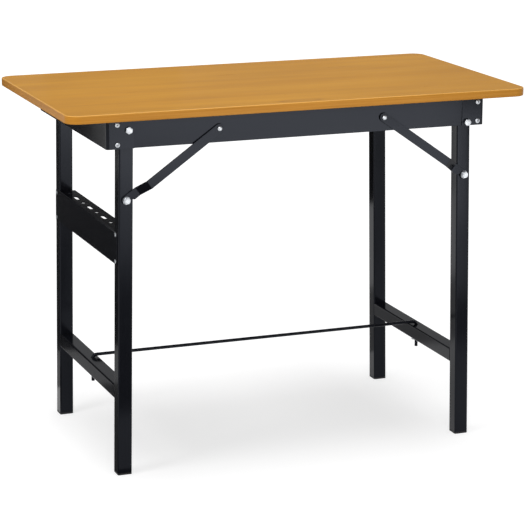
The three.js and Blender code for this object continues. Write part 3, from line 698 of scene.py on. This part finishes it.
def cylinder(tree, diameter, height, middle, sides=24):
    bar = make(tree, "GeometryNodeMeshCylinder", {"Vertices": sides, "Radius": times(tree, diameter, 0.5),
                                                  "Depth": height}).outputs["Mesh"]
    return moved(tree, bar, translation=vector(tree, Z=middle))


def combine(tree, operation, first, *others):
    node = make(tree, "GeometryNodeMeshBoolean", operation=operation, solver="EXACT")
    if operation == "DIFFERENCE":
        tree.links.new(first, node.inputs["Mesh 1"])
    else:
        tree.links.new(first, node.inputs["Mesh 2"])
    for other in others:
        tree.links.new(other, node.inputs["Mesh 2"])
    return node.outputs["Mesh"]


print("solids ready")

# %% Heads and shanks
BALL_WIDTH, BALL_HEIGHT = 0.56, 0.995
SHANK_REACH = 0.02


def dome(tree, diameter, height):
    """A low domed head that stands on Z 0: a disc trimmed by a flattened ball."""
    disc = cylinder(tree, diameter, height, times(tree, height, 0.5), 28)
    ball = make(tree, "GeometryNodeMeshUVSphere", {"Segments": 32, "Rings": 20,
                                                   "Radius": 1.0}).outputs["Mesh"]
    wide = times(tree, diameter, BALL_WIDTH)
    size = vector(tree, X=wide, Y=wide, Z=times(tree, height, BALL_HEIGHT))
    return combine(tree, "INTERSECT", disc, moved(tree, ball, scale=size))


def shank(tree, diameter, length):
    """A neck below Z 0 that reaches a little into the head."""
    full = times(tree, length, 1 + SHANK_REACH)
    return cylinder(tree, diameter, full, times(tree, length, SHANK_REACH / 2 - 0.5), 16)


print("heads and shanks ready")


# %% Set copies out on points
def set_out(tree, points, fastener, seed):
    """A copy of the fastener on every point, turned to the point's facing and by chance about it."""
    facing = make(tree, "GeometryNodeInputNamedAttribute", {"Name": "facing"},
                  data_type="FLOAT_VECTOR").outputs["Attribute"]
    turned = make(tree, "FunctionNodeAlignRotationToVector", {"Vector": facing}, axis="Z").outputs[0]
    chance = make(tree, "FunctionNodeRandomValue", {"Min": (0, 0, 0), "Max": (0, 0, math.tau), "Seed": seed},
                  data_type="FLOAT_VECTOR").outputs["Value"]
    spun = make(tree, "FunctionNodeRotateRotation", {"Rotation": turned, "Rotate By": chance},
                rotation_space="LOCAL").outputs[0]
    return make(tree, "GeometryNodeInstanceOnPoints", {"Points": points, "Instance": fastener,
                                                       "Rotation": spun}).outputs[0]


def seats(name, places):
    """A mesh of loose points, each with the way that its fastener faces."""
    mesh = bpy.data.meshes.new(name)
    mesh.from_pydata([place for place, _ in places], [], [])
    facing = mesh.attributes.new("facing", "FLOAT_VECTOR", "POINT")
    facing.data.foreach_set("vector", [number for _, way in places for number in way])
    return mesh


print("points ready")

# %% [markdown]
# ## Screws
# Pan-head screws with a cross recess hold the end panels, the tray and the board. The head is a disc
# trimmed by a flattened ball. Two tapered blades cut the cross: a square cone, squeezed flat, has
# just the taper that a driver's tip has.


# %% Build the screw tree
def screw_tree():
    tree, size = start_tree("pan head screw", {
        "Head Diameter": 0.010, "Head Height": 0.003, "Shank Diameter": 0.005, "Shank Length": 0.008,
        "Recess Width": 0.0064, "Recess Depth": 0.0022, "Seed": 3})
    head = combine(tree, "UNION", dome(tree, size["Head Diameter"], size["Head Height"]),
                   shank(tree, size["Shank Diameter"], size["Shank Length"]))
    deep = times(tree, size["Recess Depth"], 1.1)
    blade = make(tree, "GeometryNodeMeshCone", {
        "Vertices": 4, "Radius Top": times(tree, size["Recess Width"], 0.5),
        "Radius Bottom": times(tree, size["Recess Width"], 0.22), "Depth": deep}).outputs["Mesh"]
    recess_floor = calculate(tree, "SUBTRACT", size["Head Height"], size["Recess Depth"])
    cuts = [moved(tree, blade, translation=vector(tree, Z=recess_floor), scale=scale)
            for scale in ((1.0, 0.32, 1.0), (0.32, 1.0, 1.0))]
    screw = combine(tree, "DIFFERENCE", head, *cuts)
    end_tree(tree, set_out(tree, size["Geometry"], screw, size["Seed"]), size["Finish"])
    return tree


screws = screw_tree()
print("built", screws.name)


# %% Find the seats and set the screws
def middle_of(node):
    low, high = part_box(node)
    return low, high, (low + high) / 2


def front_or_rear(node, reach):
    """The seat of a fastener that faces front or rear, with its head this far out from the seat."""
    low, high, middle = middle_of(node)
    if middle.y < 0:
        return (middle.x, low.y + reach, middle.z), (0, -1, 0)
    return (middle.x, high.y - reach, middle.z), (0, 1, 0)


FLANGE_HEAD, TRAY_HEAD, TOP_HEAD = 0.003, 0.0016, 0.0022
SPLAY = math.radians(1)

flange_screws = sorted(node for node in nodes if node.endswith("_flange_screw"))
places = [front_or_rear(node, FLANGE_HEAD) for node in flange_screws]
piece = run_tree(screws, seats("flange seats", places), "flange_screws", "bench_frame", zinc,
                 Shank_Length=0.0083)
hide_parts(*flange_screws)
print(len(flange_screws), "flange screws,", len(piece.data.polygons), "faces")

tray_screws = sorted(node for node in nodes if node.endswith("_tray_screw"))
outward = (-math.cos(SPLAY), 0, math.sin(SPLAY))
places = [((low.x + TRAY_HEAD, middle.y, middle.z), outward)
          for low, high, middle in map(middle_of, tray_screws)]
piece = run_tree(screws, seats("tray seats", places), "tray_screws", "left_leg_frame", zinc,
                 Head_Diameter=0.009, Head_Height=TRAY_HEAD, Shank_Diameter=0.0045, Shank_Length=0.0083,
                 Recess_Width=0.005, Recess_Depth=0.0011)
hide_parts(*tray_screws)

top_screws = sorted(node for node in nodes if node.endswith("_top_screw"))
places = [((middle.x, middle.y, low.z + TOP_HEAD), (0, 0, -1))
          for low, high, middle in map(middle_of, top_screws)]
piece = run_tree(screws, seats("top seats", places), "top_screws", "bench_frame", zinc,
                 Head_Diameter=0.008, Head_Height=TOP_HEAD, Shank_Diameter=0.004, Shank_Length=0.0128,
                 Recess_Width=0.0046, Recess_Depth=0.0014)
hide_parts(*top_screws)
print(len(tray_screws), "tray screws and", len(top_screws), "screws under the board")

# %% [markdown]
# ## Rivets
# Each brace turns on one rivet: a domed head in front, a neck through brace and rail, and a flat
# tail that was pressed over behind the rail.


# %% Build the rivet tree and set the rivets
def rivet_tree():
    tree, size = start_tree("rivet", {
        "Head Diameter": 0.0095, "Head Height": 0.003, "Shank Diameter": 0.005, "Shank Length": 0.007,
        "Tail Diameter": 0.008, "Tail Height": 0.0016, "Seed": 5})
    tail_middle = calculate(tree, "ADD", times(tree, size["Shank Length"], -1.0),
                            times(tree, size["Tail Height"], 0.5))
    tail = cylinder(tree, size["Tail Diameter"], size["Tail Height"], tail_middle)
    rivet = combine(tree, "UNION", dome(tree, size["Head Diameter"], size["Head Height"]),
                    shank(tree, size["Shank Diameter"], times(tree, size["Shank Length"], 0.97)), tail)
    end_tree(tree, set_out(tree, size["Geometry"], rivet, size["Seed"]), size["Finish"])
    return tree


RIVET_HEAD = 0.003
rivets = ["left_brace_rivet", "right_brace_rivet"]
low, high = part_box(rivets[0])
places = [front_or_rear(node, RIVET_HEAD) for node in rivets]
piece = run_tree(rivet_tree(), seats("rivet seats", places), "brace_rivets", "bench_frame", zinc,
                 Shank_Length=high.y - low.y - RIVET_HEAD)
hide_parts(*rivets)
print(len(rivets), "rivets,", len(piece.data.polygons), "faces")

# %% [markdown]
# ## Hex bolts
# The legs turn on hex bolts, and two more carry the braces' hooked ends. A forged head isn't a bare
# prism: its top corners are turned off by a shallow cone, which leaves the curved edges that catch
# the light. The tree cuts the prism with that cone.


# %% Build the bolt tree
def hexagon(tree, across, height):
    """A six-sided prism on Z 0 with its top corners turned off."""
    prism = cylinder(tree, times(tree, across, 2 / math.sqrt(3)), height, times(tree, height, 0.5), 6)
    top = times(tree, across, 0.47)
    slope = calculate(tree, "ADD", times(tree, height, math.sqrt(3)), top)
    turned = make(tree, "GeometryNodeMeshCone", {"Vertices": 48, "Radius Top": top, "Radius Bottom": slope,
                                                 "Depth": height}).outputs["Mesh"]
    return combine(tree, "INTERSECT", prism, turned)


def bolt_tree():
    tree, size = start_tree("hex bolt", {
        "Across Flats": 0.013, "Head Height": 0.0053, "Shank Diameter": 0.008, "Shank Length": 0.0534,
        "Seed": 8})
    bolt = combine(tree, "UNION", hexagon(tree, size["Across Flats"], size["Head Height"]),
                   shank(tree, size["Shank Diameter"], size["Shank Length"]))
    end_tree(tree, set_out(tree, size["Geometry"], bolt, size["Seed"]), size["Finish"])
    return tree


bolts = bolt_tree()
print("built", bolts.name)

# %% Set the bolts
BOLT_HEAD = 0.0053
pivot_bolts = sorted(node for node in nodes if node.endswith("_pivot_bolt"))
low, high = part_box(pivot_bolts[0])
places = [front_or_rear(node, BOLT_HEAD) for node in pivot_bolts]
piece = run_tree(bolts, seats("pivot seats", places), "pivot_bolts", "bench_frame", zinc,
                 Shank_Length=high.y - low.y - BOLT_HEAD)
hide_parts(*pivot_bolts)

for side in ("left", "right"):
    low, high, middle = middle_of(side + "_brace_bolt")
    places = [((middle.x, high.y - BOLT_HEAD, middle.z), (0, 1, 0))]
    piece = run_tree(bolts, seats("brace bolt seat", places), side + "_finished_brace_bolt",
                     side + "_leg_frame", zinc, Shank_Length=high.y - low.y - BOLT_HEAD)
    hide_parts(side + "_brace_bolt")
print(len(pivot_bolts), "pivot bolts and 2 brace bolts")

# %% [markdown]
# ## Nuts
# Plain nuts close the pivots on the legs' inner sides. The braces are held by lock nuts with a broad
# flange and a round collar. One tree makes both, because a plain nut's washer face is only a very
# thin flange.


# %% Build the nut tree
def nut_tree():
    tree, size = start_tree("nut", {
        "Across Flats": 0.013, "Height": 0.0065, "Bore": 0.0086, "Flange Diameter": 0.0126,
        "Flange Thickness": 0.0004, "Collar Diameter": 0.0108, "Collar Height": 0.0002, "Seed": 13})
    flange = cylinder(tree, size["Flange Diameter"], size["Flange Thickness"],
                      times(tree, size["Flange Thickness"], 0.5), 32)
    sink = times(tree, size["Flange Thickness"], 0.5)
    body_height = calculate(tree, "SUBTRACT", size["Height"], size["Collar Height"])
    body_height = calculate(tree, "SUBTRACT", body_height, sink)
    body = moved(tree, hexagon(tree, size["Across Flats"], body_height), translation=vector(tree, Z=sink))
    collar = cylinder(tree, size["Collar Diameter"], times(tree, size["Height"], 0.5),
                      times(tree, size["Height"], 0.75), 32)
    bore = cylinder(tree, size["Bore"], times(tree, size["Height"], 3.0), 0.0, 24)
    nut = combine(tree, "DIFFERENCE", combine(tree, "UNION", flange, body, collar), bore)
    end_tree(tree, set_out(tree, size["Geometry"], nut, size["Seed"]), size["Finish"])
    return tree


nuts = nut_tree()
print("built", nuts.name)

# %% Set the nuts
pivot_nuts = sorted(node for node in nodes if node.endswith("_pivot_nut"))
places = []
for node in pivot_nuts:
    low, high, middle = middle_of(node)
    inward = 1 if middle.y < 0 else -1
    places.append(((middle.x, low.y if inward > 0 else high.y, middle.z), (0, inward, 0)))
piece = run_tree(nuts, seats("pivot nut seats", places), "pivot_nuts", "bench_frame", zinc)
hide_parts(*pivot_nuts)

for side in ("left", "right"):
    low, high, middle = middle_of(side + "_brace_lock_nut")
    places = [((middle.x, high.y, middle.z), (0, -1, 0))]
    piece = run_tree(nuts, seats("lock nut seat", places), side + "_finished_lock_nut",
                     side + "_leg_frame", zinc, Height=high.y - low.y, Flange_Diameter=0.016,
                     Flange_Thickness=0.0016, Collar_Diameter=0.0112, Collar_Height=0.0016)
    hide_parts(side + "_brace_lock_nut")
print(len(pivot_nuts), "pivot nuts and 2 lock nuts")

# %% [markdown]
# ## Stretcher rod and hairpin clips
# The rod is a bar bent down at both ends, and each clip is a bent spring wire. Both are a round
# section that follows a path, so one tree sweeps them: the path's corners are rounded, a circle runs
# along it, and where a clip passes through the rod a cross hole is drilled.


# %% Build the wire tree
def wire_tree():
    tree, size = start_tree("bent wire", {
        "Diameter": 0.007, "Bend Radius": 0.009, "Bend Steps": 10, "Sides": 20,
        "Hole Diameter": 0.0026, "Hole Start": 0.0, "Hole End": 0.0, "Hole Height": 0.0})
    path = make(tree, "GeometryNodeMeshToCurve", {"Mesh": size["Geometry"]}).outputs[0]
    bent = make(tree, "GeometryNodeFilletCurve", {"Curve": path, "Count": size["Bend Steps"],
                                                  "Radius": size["Bend Radius"]}, mode="POLY").outputs[0]
    section = make(tree, "GeometryNodeCurvePrimitiveCircle", {
        "Resolution": size["Sides"], "Radius": times(tree, size["Diameter"], 0.5)}).outputs["Curve"]
    swept = make(tree, "GeometryNodeCurveToMesh", {"Curve": bent, "Profile Curve": section,
                                                   "Fill Caps": True}).outputs[0]
    ends = [vector(tree, X=size[end], Z=size["Hole Height"]) for end in ("Hole Start", "Hole End")]
    drill = make(tree, "GeometryNodeMeshCylinder", {
        "Vertices": 16, "Radius": times(tree, size["Hole Diameter"], 0.5),
        "Depth": times(tree, size["Diameter"], 2.0)}).outputs["Mesh"]
    drills = [moved(tree, drill, translation=end, rotation=(math.pi / 2, 0, 0)) for end in ends]
    end_tree(tree, combine(tree, "DIFFERENCE", swept, *drills), size["Finish"], 50)
    return tree


def path_mesh(name, points):
    mesh = bpy.data.meshes.new(name)
    mesh.from_pydata(points, [(step, step + 1) for step in range(len(points) - 1)], [])
    return mesh


wires = wire_tree()
print("built", wires.name)

# %% Sweep the rod
ROD = 0.007
low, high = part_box("stretcher_rod")
clip_height = middle_of("left_hairpin_clip")[2].z
left_x, right_x = low.x + ROD / 2, high.x - ROD / 2
axis_z = high.z - ROD / 2
corners = [(left_x, 0, low.z), (left_x, 0, axis_z), (right_x, 0, axis_z), (right_x, 0, low.z)]
rod = run_tree(wires, path_mesh("rod path", corners), "finished_stretcher_rod", "stretcher", black_coat,
               Hole_Start=left_x, Hole_End=right_x, Hole_Height=clip_height)
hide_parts("stretcher_rod")
print("rod", round(high.x - low.x, 4), "m across its bends")

# %% Bend the clips
CLIP, CLIP_TIP, CLIP_LEG, CLIP_LOOP, CLIP_GAP = 0.002, 0.009, 0.012, 0.005, 0.0004
LOOP_STEPS = 28
beside = ROD / 2 + CLIP_GAP + CLIP / 2
mouth = math.asin(beside / 2 / CLIP_LOOP)
loop_y = CLIP_LEG + CLIP_LOOP * math.cos(mouth)
for side, x in (("left", left_x), ("right", right_x)):
    points = [(x, -CLIP_TIP, clip_height)]
    for step in range(LOOP_STEPS + 1):
        turn = math.pi + mouth + step / LOOP_STEPS * (math.tau - 2 * mouth)
        points.append((x + beside / 2 + CLIP_LOOP * math.sin(turn), loop_y + CLIP_LOOP * math.cos(turn),
                       clip_height))
    points += [(x + beside, 0, clip_height), (x + beside + CLIP, -CLIP_TIP, clip_height)]
    clip = run_tree(wires, path_mesh("clip path", points), side + "_finished_clip",
                    side + "_hairpin_clip", zinc, Diameter=CLIP, Bend_Radius=0.0004, Bend_Steps=1,
                    Sides=14, Hole_Height=-1.0)
    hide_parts(side + "_hairpin_clip")
    print(side, "clip", len(clip.data.polygons), "faces")

# %% [markdown]
# ## Tool tray
# The tray is one sheet, bent over along its top and punched with a row of slots and round holes. The
# blank's bent section is drawn point by point and stretched along Y. A tree then does what the press
# does: it sets punches along the row, in turn a slot and a round hole, and cuts them all at once, with
# the notches at the ends of the rack and the screw holes. The blank is drawn upright about the legs'
# pivot and leans out with them at the end.

# %% Draw the blank
SHEET, BEND, LEG_HALF, FIT = 0.0015, 0.003, 0.015, 0.0003
TRAY_REACH, TRAY_HALF = 0.020, 0.226
PIVOT = Vector((-0.370, 0, 0.720))
TRAY_MIDDLE_Z, TRAY_HEIGHT = 0.476, 0.067
tray_middle = (TRAY_MIDDLE_Z - PIVOT.z) / math.cos(SPLAY)
tray_top, tray_bottom = tray_middle + TRAY_HEIGHT / 2, tray_middle - TRAY_HEIGHT / 2
inner_x = -LEG_HALF - FIT
outer_x = inner_x - SHEET


def bend_points(radius, start, end, steps=8):
    middle = (outer_x + BEND, tray_top - BEND)
    turns = [start + (end - start) * step / steps for step in range(steps + 1)]
    return [(middle[0] + radius * math.cos(turn), middle[1] + radius * math.sin(turn)) for turn in turns]


def tray_blank():
    outline = [(outer_x, tray_bottom), (inner_x, tray_bottom)]
    outline += bend_points(BEND - SHEET, math.pi, math.pi / 2)
    outline += [(TRAY_REACH, tray_top - SHEET), (TRAY_REACH, tray_top)]
    outline += bend_points(BEND, math.pi / 2, math.pi)
    count = len(outline)
    points = [(x, y, z) for y in (-TRAY_HALF, TRAY_HALF) for x, z in outline]
    faces = [tuple(range(count)), tuple(reversed(range(count, 2 * count)))]
    faces += [(step, step + count, (step + 1) % count + count, (step + 1) % count) for step in range(count)]
    mesh = bpy.data.meshes.new("tray blank")
    mesh.from_pydata(points, [], faces)
    edit = bmesh.new()
    edit.from_mesh(mesh)
    bmesh.ops.recalc_face_normals(edit, faces=edit.faces)
    edit.to_mesh(mesh)
    edit.free()
    return mesh


print("tray blank", round(TRAY_HALF * 2, 3), "m long")

# %% Build the punch tree
NOTCH_BLOCK = (0.080, 0.060, 0.030)
PUNCH_STROKE, DRILL_STROKE = 0.012, 0.020


def punch_tree():
    tree, size = start_tree("tray punches", {
        "Holes": 8, "First Hole": -0.180, "Pitch": 0.050, "Slot Length": 0.030, "Slot Width": 0.008,
        "Round Hole": 0.010, "Rack Level": 0.0, "Rack Half": 0.2017, "Notch Edge": 0.0,
        "Screw Hole": 0.0051, "Screw Row": 0.217, "Screw Level": 0.0, "Screw Gap": 0.055})
    row = make(tree, "GeometryNodeMeshLine", {
        "Count": size["Holes"],
        "Start Location": vector(tree, Y=size["First Hole"], Z=size["Rack Level"]),
        "Offset": vector(tree, Y=size["Pitch"])}).outputs[0]
    odd = calculate(tree, "MODULO", make(tree, "GeometryNodeInputIndex").outputs[0], 2.0)
    even = calculate(tree, "SUBTRACT", 1.0, odd)

    outline = make(tree, "GeometryNodeCurvePrimitiveQuadrilateral", {
        "Width": size["Slot Width"], "Height": size["Slot Length"]}).outputs[0]
    rounded = make(tree, "GeometryNodeFilletCurve", {
        "Curve": outline, "Count": 8, "Radius": times(tree, size["Slot Width"], 0.4995)},
        mode="POLY").outputs[0]
    stroke = make(tree, "GeometryNodeCurvePrimitiveLine", {"Start": (0, 0, -PUNCH_STROKE / 2),
                                                           "End": (0, 0, PUNCH_STROKE / 2)})
    slot = make(tree, "GeometryNodeCurveToMesh", {"Curve": stroke.outputs[0], "Profile Curve": rounded,
                                                  "Fill Caps": True}).outputs[0]
    round_punch = cylinder(tree, size["Round Hole"], PUNCH_STROKE, 0.0, 28)
    punches = []
    for punch, chosen in ((slot, even), (round_punch, odd)):
        struck = make(tree, "GeometryNodeInstanceOnPoints", {"Points": row, "Instance": punch,
                                                             "Selection": chosen}).outputs[0]
        punches.append(make(tree, "GeometryNodeRealizeInstances", {"Geometry": struck}).outputs[0])

    for sign in (-1.0, 1.0):
        block = make(tree, "GeometryNodeMeshCube", {"Size": NOTCH_BLOCK}).outputs["Mesh"]
        edge = calculate(tree, "ADD", size["Notch Edge"], NOTCH_BLOCK[0] / 2)
        past = calculate(tree, "ADD", size["Rack Half"], NOTCH_BLOCK[1] / 2)
        place = vector(tree, X=edge, Y=times(tree, past, sign), Z=size["Rack Level"])
        punches.append(moved(tree, block, translation=place))
        drill = make(tree, "GeometryNodeMeshCylinder", {
            "Vertices": 16, "Radius": times(tree, size["Screw Hole"], 0.5),
            "Depth": DRILL_STROKE}).outputs["Mesh"]
        for level in (-0.5, 0.5):
            height = calculate(tree, "ADD", times(tree, size["Screw Gap"], level), size["Screw Level"])
            place = vector(tree, X=size["Notch Edge"], Y=times(tree, size["Screw Row"], sign), Z=height)
            punches.append(moved(tree, drill, translation=place, rotation=(0, math.pi / 2, 0)))
    punched = combine(tree, "DIFFERENCE", size["Geometry"], *punches)
    end_tree(tree, punched, size["Finish"], 30)
    return tree


punches = punch_tree()
print("built", punches.name)

# %% Punch the tray
tray = run_tree(punches, tray_blank(), "finished_tool_tray", "left_leg_frame", black_coat,
                Rack_Level=tray_top, Notch_Edge=inner_x, Screw_Level=tray_middle)
tray.data.transform(Matrix.Translation(PIVOT) @ Matrix.Rotation(SPLAY, 4, "Y"))
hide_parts("tool_tray")
print("tray", len(tray.data.polygons), "faces")

# %% [markdown]
# ## Sizes and finish
# The finished bench must fill the same box as the CAD model. Its box is printed at the end.

# %% Print the finished box
low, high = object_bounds()
print("box", [round(b - a, 4) for a, b in zip(low, high)], "m")
